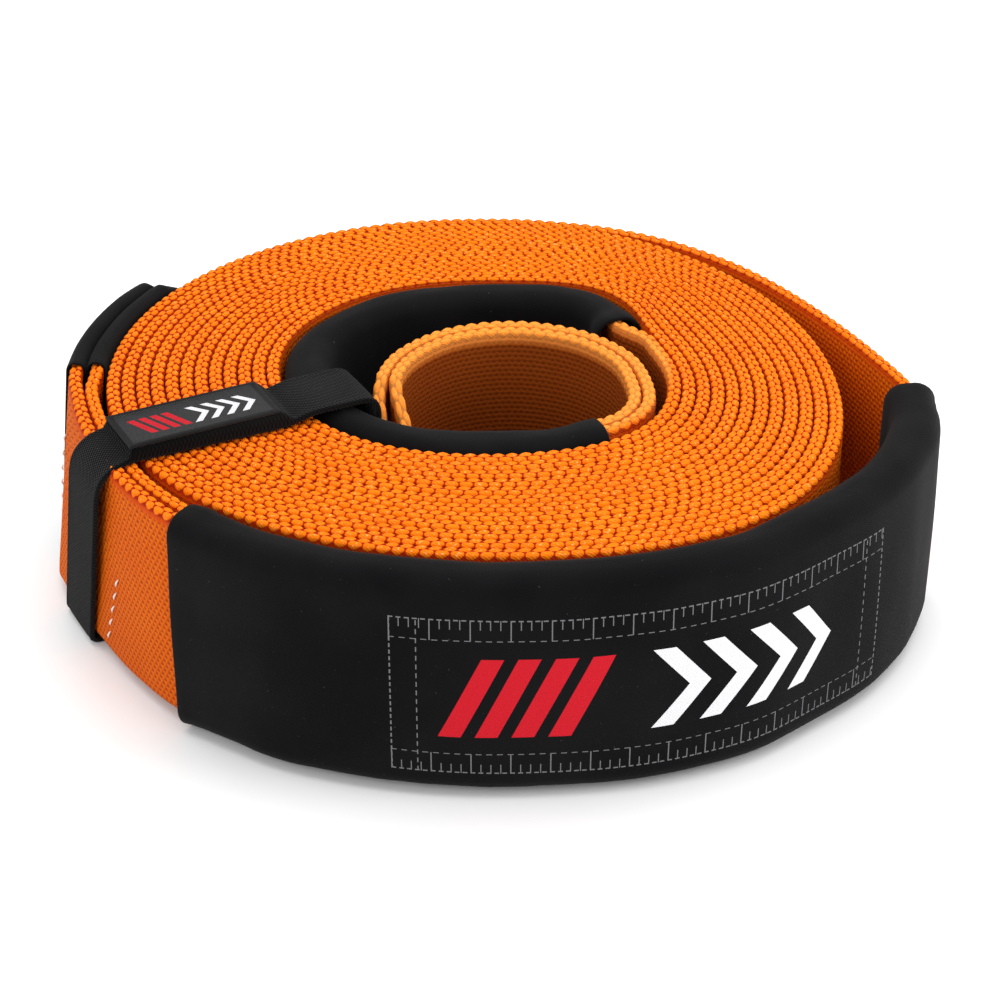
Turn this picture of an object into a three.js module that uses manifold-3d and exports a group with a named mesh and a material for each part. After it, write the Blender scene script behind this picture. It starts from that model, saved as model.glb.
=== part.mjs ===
// Tow strap, rolled up: flat woven webbing with a sewn eye at each end, wear
// sleeves, and a hook-and-loop keeper that holds the roll together.
// Units are millimetres, +Z is up, and the roll lies on its side edge.
import * as THREE from 'three';
import { mergeVertices } from 'three/addons/utils/BufferGeometryUtils.js';
import Module from 'manifold-3d';

const wasm = await Module();
wasm.setup();

// Webbing
const webbingWidth = 75;
const webbingThickness = 4.8;
const sewnThickness = 2 * webbingThickness + 0.1;
const turnPitch = 5.08;
const turns = 12;
const rollSides = 48;
const grooveDepth = 1.6;
const grooveWidth = 1.5;

// Clearances
const fit = 0.3;
const nestGap = 0.8;

// Wear sleeves
const frontSleeveThickness = 18;
const frontSleeveWall = 2.9;
const innerSleeveThickness = 17;
const innerSleeveWall = 2;
const sleeveCorner = 6;
const sleeveStep = 14;
const webbingStep = 9;
const sewnOverlap = 12;

// Eyes: the webbing narrows to its folded width inside each eye sleeve
const eyeWidth = 38;
const eyeSleeveWall = 1.2;
const eyeSleeveCorner = 3;
const eyeTaperLength = 55;
const eyeTipRadius = 7.6;
const eyeTipLength = 20;
const eyeStation = 16;
const eyeStep = 12;
const eyeCrowding = 0.6;
const eyeMouthStation = 3;

// Keeper
const keeperWidth = 26;
const keeperThickness = 2;
const keeperCorner = 3;
const keeperSlopeStart = 11;
const keeperSlopeEnd = 19;
const tabLength = 60;
const tabThickness = 3.4;
const labelLength = 54;
const labelWidth = 24;
const labelThickness = 1.2;

// Heights: the front sleeve, the eyes and the keeper rest on the floor, and
// the keeper passes under the inner sleeve and the roll
const innerSleeveBottom = keeperThickness + fit;
const webbingBottom = innerSleeveBottom + innerSleeveWall + fit;
const webbingTop = webbingBottom + webbingWidth;
const innerSleeveTop = webbingTop + fit + innerSleeveWall;
const frontSleeveTop = webbingTop + fit + frontSleeveWall;
const eyeBottom = eyeSleeveWall + fit;
const eyeLegThickness = webbingThickness + 2 * (eyeSleeveWall + fit);
const eyeLegOffset = eyeLegThickness / 2 + fit;
const eyeHalf = eyeLegOffset + eyeLegThickness / 2;

// Plan of the roll about its middle: azimuths in degrees, +X is 0, +Y is 90
const boreRadius = 66.2;
const rollRadius = boreRadius + turns * turnPitch;
const degree = Math.PI / 180;

function bump(azimuth, centre, width) {
  const away = ((azimuth - centre + 900) % 360) - 180;
  return Math.exp(-((away / width) ** 2));
}

// The bore sits a little to the back, and is pressed out of round by the ends
// of the inner sleeve
function boreEdge(azimuth) {
  const shift = 3.8 * Math.cos((azimuth - 105) * degree);
  return boreRadius + shift + 9 * bump(azimuth, -38, 32) + 9.5 * bump(azimuth, 52, 22);
}

// The outside bulges at the front right, and is slack at the back right, where
// the last turn has come away
function rollEdge(azimuth) {
  return rollRadius + 13 * bump(azimuth, -45, 30) - 5.5 * bump(azimuth, 32, 38);
}

function innerSleeveLine(azimuth) {
  return boreEdge(azimuth) - nestGap - innerSleeveThickness / 2;
}

function frontSleeveLine(azimuth) {
  return rollEdge(azimuth) + nestGap + frontSleeveThickness / 2;
}

function outerEyeLine(azimuth) {
  return rollEdge(azimuth) + nestGap + eyeHalf;
}

function polar(azimuth, radius) {
  return new THREE.Vector2(radius * Math.cos(azimuth * degree), radius * Math.sin(azimuth * degree));
}

// A smooth route through plan points
function routeThrough(points) {
  const corners = points.map((point) => new THREE.Vector3(point.x, point.y, 0));
  const curve = new THREE.CatmullRomCurve3(corners, false, 'centripetal');
  curve.arcLengthDivisions = 4000;
  return curve;
}

// How far along a route the spot nearest to a plan point is
function distanceTo(route, point) {
  const samples = 2000;
  const spots = route.getSpacedPoints(samples);
  const gaps = spots.map((spot) => Math.hypot(spot.x - point.x, spot.y - point.y));
  return (gaps.indexOf(Math.min(...gaps)) / samples) * route.getLength();
}

// Moves a straight strip or tube onto a route: x runs along it, y across its
// thickness, to the left of the way it goes, and z stays the height
function bendAlong(geometry, route) {
  const length = route.getLength();
  const place = geometry.getAttribute('position');
  for (let i = 0; i < place.count; i += 1) {
    const share = Math.min(Math.max(place.getX(i) / length, 0), 1);
    const point = route.getPointAt(share);
    const heading = route.getTangentAt(share);
    const across = place.getY(i);
    place.setXYZ(i, point.x - heading.y * across, point.y + heading.x * across, place.getZ(i));
  }
  return geometry;
}

function evenStations(from, to, step) {
  const count = Math.max(1, Math.round((to - from) / step));
  return Array.from({ length: count + 1 }, (_, i) => from + ((to - from) * i) / count);
}

// Closer together at both ends and at the tip than along the legs
function eyeStations(length) {
  const count = Math.round(length / eyeStep);
  const swing = 4 * Math.PI;
  return Array.from({ length: count + 1 }, (_, i) => {
    const share = i / count;
    return length * (share - (eyeCrowding * Math.sin(swing * share)) / swing);
  });
}

// A straight strip with a section at each station
function straightStrip({ stations, thickness, bottomAt, topAt }) {
  const spans = stations.length - 1;
  const strip = new THREE.BoxGeometry(spans, thickness, 1, spans, 1, 1);
  const place = strip.getAttribute('position');
  for (let i = 0; i < place.count; i += 1) {
    const along = stations[Math.round(place.getX(i) + spans / 2)];
    const height = place.getZ(i) > 0 ? topAt(along) : bottomAt(along);
    place.setXYZ(i, along, place.getY(i), height);
  }
  return strip;
}

function foldedOutline(width, height, corner) {
  const side = width / 2 - corner;
  const outline = new THREE.Shape();
  outline.absarc(side, corner, corner, -Math.PI / 2, 0, false);
  outline.absarc(side, height - corner, corner, 0, Math.PI / 2, false);
  outline.absarc(-side, height - corner, corner, Math.PI / 2, Math.PI, false);
  outline.absarc(-side, corner, corner, Math.PI, 1.5 * Math.PI, false);
  outline.closePath();
  return outline;
}

function slot(width, bottom, top) {
  const opening = new THREE.Path();
  opening.moveTo(-width / 2, bottom);
  opening.lineTo(-width / 2, top);
  opening.lineTo(width / 2, top);
  opening.lineTo(width / 2, bottom);
  opening.closePath();
  return opening;
}

// A straight flat tube with a section at each station. Its lower and upper
// folds keep their shape where its height changes
function straightTube({ stations, thickness, wall, corner, cornerFacets, bottomAt, topAt }) {
  const spans = stations.length - 1;
  const fullHeight = topAt(stations[0]) - bottomAt(stations[0]);
  const section = foldedOutline(thickness, fullHeight, corner);
  section.holes.push(slot(thickness - 2 * wall, wall, fullHeight - wall));
  const tube = new THREE.ExtrudeGeometry(section, {
    depth: spans, steps: spans, bevelEnabled: false, curveSegments: cornerFacets,
  });
  const place = tube.getAttribute('position');
  for (let i = 0; i < place.count; i += 1) {
    const along = stations[Math.round(place.getZ(i))];
    const up = place.getY(i);
    const height = up < fullHeight / 2 ? bottomAt(along) + up : topAt(along) - (fullHeight - up);
    place.setXYZ(i, along, place.getX(i), height);
  }
  return tube;
}

function toSolid(geometry) {
  geometry.deleteAttribute('normal');
  geometry.deleteAttribute('uv');
  const merged = mergeVertices(geometry, 1e-4);
  const solid = new wasm.Manifold(new wasm.Mesh({
    numProp: 3,
    vertProperties: new Float32Array(merged.getAttribute('position').array),
    triVerts: new Uint32Array(merged.index.array),
  }));
  return solid;
}

function toGeometry(solid) {
  const mesh = solid.getMesh();
  const geometry = new THREE.BufferGeometry();
  geometry.setAttribute('position', new THREE.BufferAttribute(mesh.vertProperties, 3));
  geometry.setIndex(new THREE.BufferAttribute(mesh.triVerts, 1));
  geometry.computeVertexNormals();
  return geometry;
}

function union(solids) {
  return solids.reduce((whole, next) => whole.add(next));
}

// The roll: one turned solid with its bore. A groove between each two turns
// shows on both ends
function rolledTurns() {
  const lower = [];
  for (let turn = 0; turn < turns; turn += 1) {
    const inner = boreRadius + turn * turnPitch;
    const outer = inner + turnPitch;
    if (turn > 0) {
      lower.push(new THREE.Vector2(inner, webbingBottom + grooveDepth));
    }
    lower.push(new THREE.Vector2(inner + grooveWidth / 2, webbingBottom));
    lower.push(new THREE.Vector2(outer - grooveWidth / 2, webbingBottom));
  }
  lower.unshift(new THREE.Vector2(boreRadius, webbingBottom + grooveDepth));
  lower.push(new THREE.Vector2(rollRadius, webbingBottom + grooveDepth));
  const middle = webbingBottom + webbingTop;
  const upper = lower.map((point) => new THREE.Vector2(point.x, middle - point.y)).reverse();
  const turned = new THREE.LatheGeometry([...lower, ...upper, lower[0]], rollSides);
  turned.rotateX(Math.PI / 2);
  const place = turned.getAttribute('position');
  for (let i = 0; i < place.count; i += 1) {
    const azimuth = Math.atan2(place.getY(i), place.getX(i)) / degree;
    const radius = Math.hypot(place.getX(i), place.getY(i));
    const share = (radius - boreRadius) / (rollRadius - boreRadius);
    const spot = polar(azimuth, THREE.MathUtils.lerp(boreEdge(azimuth), rollEdge(azimuth), share));
    place.setXYZ(i, spot.x, spot.y, place.getZ(i));
  }
  return toSolid(turned);
}

// An eye: the strap's end splits off the sewn stretch, runs out, turns round
// the tip and comes back. Middle is the line between its two legs, from the
// sewn stretch to the tip
function eyeRoute(middle) {
  const length = middle.getLength();
  const legs = { left: [], right: [] };
  const stations = Math.round(length / eyeStation);
  for (let i = 0; i <= stations; i += 1) {
    const share = (i / stations) * (1 - eyeTipLength / length);
    const spread = i === 0 ? sewnThickness / 4 : eyeLegOffset;
    legs.left.push(beside(middle, share, spread));
    legs.right.push(beside(middle, share, -spread));
  }
  const tip = middle.getPointAt(1);
  const heading = middle.getTangentAt(1);
  const round = [90, 45, 0, -45, -90].map((turn) => {
    const angle = Math.atan2(heading.y, heading.x) + turn * degree;
    return new THREE.Vector2(
      tip.x - heading.x * eyeTipRadius + eyeTipRadius * Math.cos(angle),
      tip.y - heading.y * eyeTipRadius + eyeTipRadius * Math.sin(angle),
    );
  });
  return routeThrough([...legs.left, ...round, ...legs.right.reverse()]);
}

function beside(route, share, across) {
  const point = route.getPointAt(share);
  const heading = route.getTangentAt(share);
  return new THREE.Vector2(point.x - heading.y * across, point.y + heading.x * across);
}

// The height of an eye falls from the full width at its mouth to the folded
// width, on both of its legs
function eyeFall(route, full, folded) {
  const length = route.getLength();
  return (along) => {
    const fromMouth = Math.min(along, length - along);
    return THREE.MathUtils.lerp(full, folded, THREE.MathUtils.smoothstep(fromMouth, 0, eyeTaperLength));
  };
}

function eyeWebbing(route) {
  return toSolid(bendAlong(straightStrip({
    stations: eyeStations(route.getLength()),
    thickness: webbingThickness,
    bottomAt: eyeFall(route, webbingBottom, eyeBottom),
    topAt: eyeFall(route, webbingTop, eyeBottom + eyeWidth),
  }), route));
}

function eyeSleeve(route) {
  const margin = eyeSleeveWall + fit;
  const bottomAt = eyeFall(route, webbingBottom, eyeBottom);
  const topAt = eyeFall(route, webbingTop, eyeBottom + eyeWidth);
  return toSolid(bendAlong(straightTube({
    stations: eyeStations(route.getLength()).slice(eyeMouthStation, -eyeMouthStation),
    thickness: eyeLegThickness,
    wall: eyeSleeveWall,
    corner: eyeSleeveCorner,
    cornerFacets: 1,
    bottomAt: (along) => bottomAt(along) - margin,
    topAt: (along) => topAt(along) + margin,
  }), route));
}

// Routes, in plan about the middle of the roll. The outer one follows the last
// turn away from the roll, through the front sleeve, to the outer eye
const frontSleeveMouth = polar(-6.8, 152.1);
const frontSleeveEnd = polar(-131, frontSleeveLine(-131));
const outerRoute = routeThrough([
  polar(102, rollEdge(102) - 6.5),
  polar(90, rollEdge(90) - 4.5),
  polar(78, rollEdge(78) - 2),
  polar(66, 127.6),
  polar(54, 128.4),
  polar(42, 128.4),
  polar(32, 129.2),
  polar(18, 133),
  polar(3.6, 142),
  frontSleeveMouth,
  polar(-14.6, 155.3),
  polar(-24, 155),
  polar(-34, 153.2),
  ...[-44, -54, -64, -74, -84, -96, -108, -120].map((azimuth) => polar(azimuth, frontSleeveLine(azimuth))),
  frontSleeveEnd,
  polar(-142, 136.4),
  polar(-154, 135.6),
  polar(-164, 135.6),
  polar(-173, 135.8),
]);
const outerEyeMiddle = routeThrough([
  ...[189, 180, 171, 162, 152, 142, 132, 122, 112].map((azimuth) => polar(azimuth, outerEyeLine(azimuth))),
  polar(102, outerEyeLine(102) + 1.5),
  polar(94, outerEyeLine(94) + 4),
  polar(87, outerEyeLine(87) + 5),
]);

// The inner one leaves the bore, goes through the inner sleeve and round the
// centre loop to the inner eye
const innerSleeveMouth = polar(33, innerSleeveLine(33));
const innerSleeveEnd = polar(-46, innerSleeveLine(-46));
const innerRoute = routeThrough([
  polar(-22, boreEdge(-22) + 4.5),
  polar(-11, boreEdge(-11) + 3),
  polar(0, boreEdge(0) + 1.2),
  polar(11, 68.2),
  polar(22, 66.4),
  innerSleeveMouth,
  ...[44, 55, 66, 77, 90, 105, 120, 135, 150, 165, 180, 195, 210, 225, 240, 255, 270, 285, 298]
    .map((azimuth) => polar(azimuth, innerSleeveLine(azimuth))),
  innerSleeveEnd,
  new THREE.Vector2(52.5, -37.5),
  new THREE.Vector2(58, -26),
  new THREE.Vector2(58, -11),
  new THREE.Vector2(52.5, 8),
  new THREE.Vector2(37.5, 24),
  new THREE.Vector2(14.5, 31),
  new THREE.Vector2(-8.5, 25),
  new THREE.Vector2(-23.5, 9),
  new THREE.Vector2(-28.8, -7),
]);
const innerEyeMiddle = routeThrough([
  new THREE.Vector2(-28, -2),
  new THREE.Vector2(-28.8, -14),
  new THREE.Vector2(-24.4, -23.6),
  new THREE.Vector2(-17.6, -31.4),
  new THREE.Vector2(0, -35.8),
  new THREE.Vector2(20, -33.5),
  new THREE.Vector2(36.5, -23),
  new THREE.Vector2(41.5, -8),
  new THREE.Vector2(36, 6),
  new THREE.Vector2(24, 12.5),
  new THREE.Vector2(10, 13.5),
]);

function level(height) {
  return () => height;
}

function webbingStretch(route, from, to, thickness) {
  return toSolid(bendAlong(straightStrip({
    stations: evenStations(from, to, webbingStep),
    thickness,
    bottomAt: level(webbingBottom),
    topAt: level(webbingTop),
  }), route));
}

const outerEyeRoute = eyeRoute(outerEyeMiddle);
const innerEyeRoute = eyeRoute(innerEyeMiddle);

function webbing() {
  const outerSewn = distanceTo(outerRoute, frontSleeveEnd) - sewnOverlap;
  const innerSewn = distanceTo(innerRoute, innerSleeveEnd) - sewnOverlap;
  return union([
    rolledTurns(),
    webbingStretch(outerRoute, 0, outerSewn + 1, webbingThickness),
    webbingStretch(outerRoute, outerSewn, outerRoute.getLength(), sewnThickness),
    eyeWebbing(outerEyeRoute),
    webbingStretch(innerRoute, 0, innerSewn + 1, webbingThickness),
    webbingStretch(innerRoute, innerSewn, innerRoute.getLength(), sewnThickness),
    eyeWebbing(innerEyeRoute),
  ]);
}

function wearSleeve({ route, mouth, end, thickness, wall, bottom, top }) {
  return toSolid(bendAlong(straightTube({
    stations: evenStations(distanceTo(route, mouth), distanceTo(route, end), sleeveStep),
    thickness,
    wall,
    corner: sleeveCorner,
    cornerFacets: 2,
    bottomAt: level(bottom),
    topAt: level(top),
  }), route));
}

// The keeper is a band round the left of the roll, in an upright plane. Its
// outline is drawn from above the bore, outwards, and z stays the height
const keeperHeading = 207;
const keeperStart = new THREE.Vector2(-48.5, -26.7);
const keeperInner = -13;
const keeperOuter = 87.4;

function keeperOutline(path, offset) {
  const corner = keeperCorner + offset;
  const inner = keeperInner - offset + corner;
  const outer = keeperOuter + offset - corner;
  const bottom = keeperThickness / 2 - offset + corner;
  const overSleeve = innerSleeveTop + fit + keeperThickness / 2 + offset - corner;
  const overRoll = webbingTop + fit + keeperThickness / 2 + offset - corner;
  path.absarc(outer, bottom, corner, -Math.PI / 2, 0, false);
  path.absarc(outer, overRoll, corner, 0, Math.PI / 2, false);
  path.lineTo(keeperSlopeEnd, overRoll + corner);
  path.lineTo(keeperSlopeStart, overSleeve + corner);
  path.absarc(inner, overSleeve, corner, Math.PI / 2, Math.PI, false);
  path.absarc(inner, bottom, corner, Math.PI, 1.5 * Math.PI, false);
  path.closePath();
  return path;
}

// Stands an outline drawn outwards and up in the keeper's plane
function inKeeperPlane(geometry) {
  geometry.rotateX(Math.PI / 2);
  geometry.rotateZ(keeperHeading * degree);
  geometry.translate(keeperStart.x, keeperStart.y, 0);
  return geometry;
}

function bandThrough(outline, width) {
  const band = new THREE.ExtrudeGeometry(outline, { depth: width, bevelEnabled: false, curveSegments: 3 });
  band.translate(0, 0, -width / 2);
  return toSolid(inKeeperPlane(band));
}

function plateOn(from, length, bottom, thickness, width) {
  const outline = new THREE.Shape();
  outline.moveTo(from, bottom);
  outline.lineTo(from + length, bottom);
  outline.lineTo(from + length, bottom + thickness);
  outline.lineTo(from, bottom + thickness);
  outline.closePath();
  return bandThrough(outline, width);
}

const keeperTop = webbingTop + fit + keeperThickness;

function keeperStrap() {
  const outline = keeperOutline(new THREE.Shape(), keeperThickness / 2);
  outline.holes.push(keeperOutline(new THREE.Path(), -keeperThickness / 2));
  const sunk = keeperThickness / 2;
  const tab = plateOn(keeperSlopeEnd, tabLength, keeperTop - sunk, tabThickness + sunk, keeperWidth);
  return bandThrough(outline, keeperWidth).add(tab);
}

function keeperLabel() {
  const from = keeperSlopeEnd + (tabLength - labelLength) / 2;
  return plateOn(from, labelLength, keeperTop + tabThickness + fit, labelThickness, labelWidth);
}

// Assembly, with its origin under the middle of its box, on the floor
const webbingFinish = { color: 0xf0780f, roughness: 0.85, metalness: 0 };
const sleeveFinish = { color: 0x101010, roughness: 0.75, metalness: 0 };
const keeperFinish = { color: 0x0c0c0c, roughness: 0.95, metalness: 0 };
const labelFinish = { color: 0x2b2b2d, roughness: 0.8, metalness: 0 };

function piece(name, solid, finish) {
  const mesh = new THREE.Mesh(toGeometry(solid), new THREE.MeshStandardMaterial(finish));
  mesh.name = name;
  return mesh;
}

const strap = new THREE.Group();
strap.add(
  piece('webbing', webbing(), webbingFinish),
  piece('front_wear_sleeve', wearSleeve({
    route: outerRoute,
    mouth: frontSleeveMouth,
    end: frontSleeveEnd,
    thickness: frontSleeveThickness,
    wall: frontSleeveWall,
    bottom: 0,
    top: frontSleeveTop,
  }), sleeveFinish),
  piece('inner_wear_sleeve', wearSleeve({
    route: innerRoute,
    mouth: innerSleeveMouth,
    end: innerSleeveEnd,
    thickness: innerSleeveThickness,
    wall: innerSleeveWall,
    bottom: innerSleeveBottom,
    top: innerSleeveTop,
  }), sleeveFinish),
  piece('outer_eye_sleeve', eyeSleeve(outerEyeRoute), sleeveFinish),
  piece('inner_eye_sleeve', eyeSleeve(innerEyeRoute), sleeveFinish),
  piece('keeper_strap', keeperStrap(), keeperFinish),
  piece('keeper_label', keeperLabel(), labelFinish),
);

const box = new THREE.Box3().setFromObject(strap);
strap.position.set(-(box.min.x + box.max.x) / 2, -(box.min.y + box.max.y) / 2, -box.min.z);

export default strap;
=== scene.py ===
import math

import bpy
import numpy as np
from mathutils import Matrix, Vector, noise


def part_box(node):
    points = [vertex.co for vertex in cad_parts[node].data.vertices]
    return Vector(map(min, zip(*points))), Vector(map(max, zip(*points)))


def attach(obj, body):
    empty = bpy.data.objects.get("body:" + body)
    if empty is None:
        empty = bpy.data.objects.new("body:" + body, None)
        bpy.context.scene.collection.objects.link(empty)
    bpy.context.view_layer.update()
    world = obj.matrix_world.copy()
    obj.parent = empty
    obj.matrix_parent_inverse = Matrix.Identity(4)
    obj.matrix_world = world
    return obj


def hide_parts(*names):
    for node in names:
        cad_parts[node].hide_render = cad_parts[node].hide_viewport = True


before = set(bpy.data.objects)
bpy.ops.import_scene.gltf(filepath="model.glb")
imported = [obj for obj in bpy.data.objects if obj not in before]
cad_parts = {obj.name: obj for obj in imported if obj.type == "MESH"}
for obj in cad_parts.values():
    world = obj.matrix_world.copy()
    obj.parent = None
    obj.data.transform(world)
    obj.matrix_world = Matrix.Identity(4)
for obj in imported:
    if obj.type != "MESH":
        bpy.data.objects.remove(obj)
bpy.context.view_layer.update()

MM = 0.001

# Plan values are millimetres about the middle of the roll, heights are millimetres above the floor
ROLL_MIDDLE = (-8.114, -1.573)
WEBBING_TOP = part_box("webbing")[1][2] / MM
WEBBING_WIDTH = 75.0
WEBBING_BOTTOM = WEBBING_TOP - WEBBING_WIDTH
WEBBING_THICKNESS = 4.7
BORE_RADIUS = 66.2
ROLL_RADIUS = 127.2
TURNS = 12
LAYER_GAP = 0.12
FRONT_SLEEVE_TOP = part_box("front_wear_sleeve")[1][2] / MM
INNER_SLEEVE_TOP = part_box("inner_wear_sleeve")[1][2] / MM
INNER_SLEEVE_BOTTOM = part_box("inner_wear_sleeve")[0][2] / MM
FRONT_SLEEVE_THICKNESS = 18.0
INNER_SLEEVE_THICKNESS = 17.0
# What the folds may stand out past a sleeve's plain section
FOLD_ROOM = 0.9
NEST_GAP = 0.8
TURN_STEP = 6
LEAF_SWEEP = 30
EYE_BOTTOM = 1.5
EYE_WIDTH = 38.0
EYE_HALF = 6.9
EYE_LEG_OFFSET = 3.45
EYE_TIP_RADIUS = 7.6
EYE_TIP_LENGTH = 20.0
INNER_TAPER = (0, 55)
OUTER_TAPER = (85, 140)
SEWN_OFFSET = 2.45
HEM = 9.0
EYE_LEG_HALF = 3.35
EYE_SLEEVE_ROOM = 1.5
# Facets on a rounded corner of a tube's section, and along each of its upright sides
CORNER_FACETS = 6
SIDE_FACETS = 12


# Plan geometry

def bump(azimuth, centre, width):
    """1 at the centre, fading over the width either side, all in degrees."""
    away = (azimuth - centre + 900) % 360 - 180
    return math.exp(-((away / width) ** 2))


def ease(value, low, high):
    """From 0 at low to 1 at high, level at both ends."""
    share = min(max((value - low) / (high - low), 0), 1)
    return share * share * (3 - 2 * share)


def bore_edge(azimuth):
    """Radius of the roll's bore, which is a little out of round."""
    shift = 3.8 * math.cos(math.radians(azimuth - 105))
    return BORE_RADIUS + shift + 9 * bump(azimuth, -38, 32) + 9.5 * bump(azimuth, 52, 22)


def roll_edge(azimuth):
    """Radius of the roll's outside, without the turn that leaves it."""
    return ROLL_RADIUS + 13 * bump(azimuth, -45, 30) - 5.5 * bump(azimuth, 32, 38)


def inner_sleeve_line(azimuth):
    return bore_edge(azimuth) - NEST_GAP - INNER_SLEEVE_THICKNESS / 2


def front_sleeve_line(azimuth):
    return roll_edge(azimuth) + NEST_GAP + FRONT_SLEEVE_THICKNESS / 2


def outer_eye_line(azimuth):
    return roll_edge(azimuth) + NEST_GAP + EYE_HALF


def polar(azimuth, radius):
    return (radius * math.cos(math.radians(azimuth)), radius * math.sin(math.radians(azimuth)))


def smooth_line(stops, step):
    """Stations at even steps along a centripetal curve through stops. A stop's first two values
    are its place in plan, and what follows is carried along with it."""
    stops = np.array(stops, float)
    ends = np.vstack([2 * stops[0] - stops[1], stops, 2 * stops[-1] - stops[-2]])
    knots = np.concatenate([[0], np.cumsum(np.linalg.norm(np.diff(ends[:, :2], axis=0), axis=1) ** 0.5)])
    pieces = []
    for i in range(1, len(ends) - 2):
        t0, t1, t2, t3 = knots[i - 1:i + 3]
        t = np.linspace(t1, t2, 17)[:-1, None]
        p0, p1, p2, p3 = ends[i - 1:i + 3]
        a1 = (t1 - t) / (t1 - t0) * p0 + (t - t0) / (t1 - t0) * p1
        a2 = (t2 - t) / (t2 - t1) * p1 + (t - t1) / (t2 - t1) * p2
        a3 = (t3 - t) / (t3 - t2) * p2 + (t - t2) / (t3 - t2) * p3
        b1 = (t2 - t) / (t2 - t0) * a1 + (t - t0) / (t2 - t0) * a2
        b2 = (t3 - t) / (t3 - t1) * a2 + (t - t1) / (t3 - t1) * a3
        curve = (t2 - t) / (t2 - t1) * b1 + (t - t1) / (t2 - t1) * b2
        straight = p1 + (t - t1) / (t2 - t1) * (p2 - p1)
        curve[:, 2:] = straight[:, 2:]
        pieces.append(curve)
    line = np.vstack(pieces + [ends[-2:-1]])
    along = np.concatenate([[0], np.cumsum(np.linalg.norm(np.diff(line[:, :2], axis=0), axis=1))])
    count = int(round(along[-1] / step)) + 1
    even = np.linspace(0, along[-1], count)
    return even, np.column_stack([np.interp(even, along, line[:, k]) for k in range(line.shape[1])])


def headings(line):
    """The way a line goes in plan at each station."""
    way = np.gradient(line[:, :2], axis=0)
    return way / np.linalg.norm(way, axis=1)[:, None]


# Routes

LOOP_STOPS = [(52.5, -37.5), (58, -26), (58, -11), (52.5, 8), (37.5, 24), (14.5, 31), (-8.5, 25),
              (-23.5, 9), (-28.8, -7)]
INNER_EYE_STOPS = [(-28, -2), (-28.8, -14), (-25.6, -24), (-17.6, -31.4), (0, -35.8), (20, -33.5),
                   (36.5, -23), (41.5, -8), (36, 6), (24, 12.5), (10, 13.5)]
INNER_MOUTH = 33
INNER_END = -46
ROLL_START = -10
ROLL_LEAVES = 78
FRONT_MOUTH = (-6.8, 152.1)
FRONT_END = -131
FRONT_AZIMUTHS = (-44, -54, -64, -74, -84, -96, -108, -120, FRONT_END)


def inner_sleeve_stops():
    azimuths = [INNER_MOUTH, 44, 55, 66, 77, *range(90, 286, 15), 298, 360 + INNER_END]
    return [polar(azimuth, inner_sleeve_line(azimuth)) for azimuth in azimuths]


def outer_run_stops():
    """From the roll to the front sleeve's mouth, through it, and round the left to the eye."""
    loose = [(66, 127.4), (54, 128.4), (42, 128.8), (32, 129.6), (18, 133), (3.6, 142), FRONT_MOUTH]
    sleeve = [(-14.6, 155.3), (-24, 155), (-34, 153.2)]
    close = [(azimuth, front_sleeve_line(azimuth)) for azimuth in FRONT_AZIMUTHS]
    left = [(-142, 135.2), (-154, 133.4), (-164, 133.6), (-173, 134.6)]
    return [polar(*stop) for stop in loose + sleeve + close + left]


def front_sleeve_stops():
    ends = len(outer_run_stops()) - 4
    return outer_run_stops()[6:ends]


def outer_eye_stops():
    leaving = {102: 1.5, 94: 4, 87: 5}
    azimuths = (189, 180, 171, 162, 152, 142, 132, 122, 112, *leaving)
    return [polar(azimuth, outer_eye_line(azimuth) + leaving.get(azimuth, 0)) for azimuth in azimuths]


def eye_stops(middle_stops):
    """Out along one side of an eye's middle line, round its tip and back along the other."""
    along, middle = smooth_line(middle_stops, 2.0)
    way = headings(middle)
    length = along[-1]
    left, right = [], []
    stations = round(length / 16)
    for i in range(stations + 1):
        share = i / stations * (1 - EYE_TIP_LENGTH / length)
        k = round(share * (len(middle) - 1))
        spread = SEWN_OFFSET if i == 0 else EYE_LEG_OFFSET
        side = Vector((-way[k][1], way[k][0])) * spread
        left.append(Vector(middle[k][:2]) + side)
        right.append(Vector(middle[k][:2]) - side)
    heading = Vector(way[-1])
    hub = Vector(middle[-1][:2]) - heading * EYE_TIP_RADIUS
    facing = math.atan2(heading.y, heading.x)
    tip = [hub + EYE_TIP_RADIUS * Vector((math.cos(facing + turn), math.sin(facing + turn)))
           for turn in (math.pi / 2, math.pi / 4, 0, -math.pi / 4, -math.pi / 2)]
    return [tuple(stop) for stop in left + tip + right[::-1]]


def signed(azimuth):
    """The same azimuth from -180 to 180."""
    return (azimuth + 180) % 360 - 180


def first_turn_share(azimuth):
    """From 0 to 1, going clockwise, as the strap's first turn comes in under the others."""
    return 1 - ease(signed(azimuth), ROLL_START, INNER_MOUTH)


def layer_room(azimuth):
    """Room for one layer of the roll, which has one fewer behind the start of the first turn."""
    place = signed(azimuth)
    near_start = ROLL_START <= place <= 95
    layers = TURNS - 1 + first_turn_share(place) + ease(place, 60, 95) if near_start else TURNS
    return (roll_edge(azimuth) - bore_edge(azimuth)) / layers


def roll_stops():
    """Clockwise from the bore to the outside. A layer moves out by one where the first turn comes
    in under it."""
    stops = []
    for sweep in range(-LEAF_SWEEP, 360 * TURNS + ROLL_START - ROLL_LEAVES, TURN_STEP):
        azimuth = ROLL_START - sweep
        rising = first_turn_share(azimuth) if ROLL_START < signed(azimuth) < INNER_MOUTH else 0
        room = layer_room(azimuth)
        radius = bore_edge(azimuth) + (sweep // 360 + rising + 0.5) * room
        stops.append((*polar(azimuth, radius), room - LAYER_GAP))
    return stops


# Strap

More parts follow.
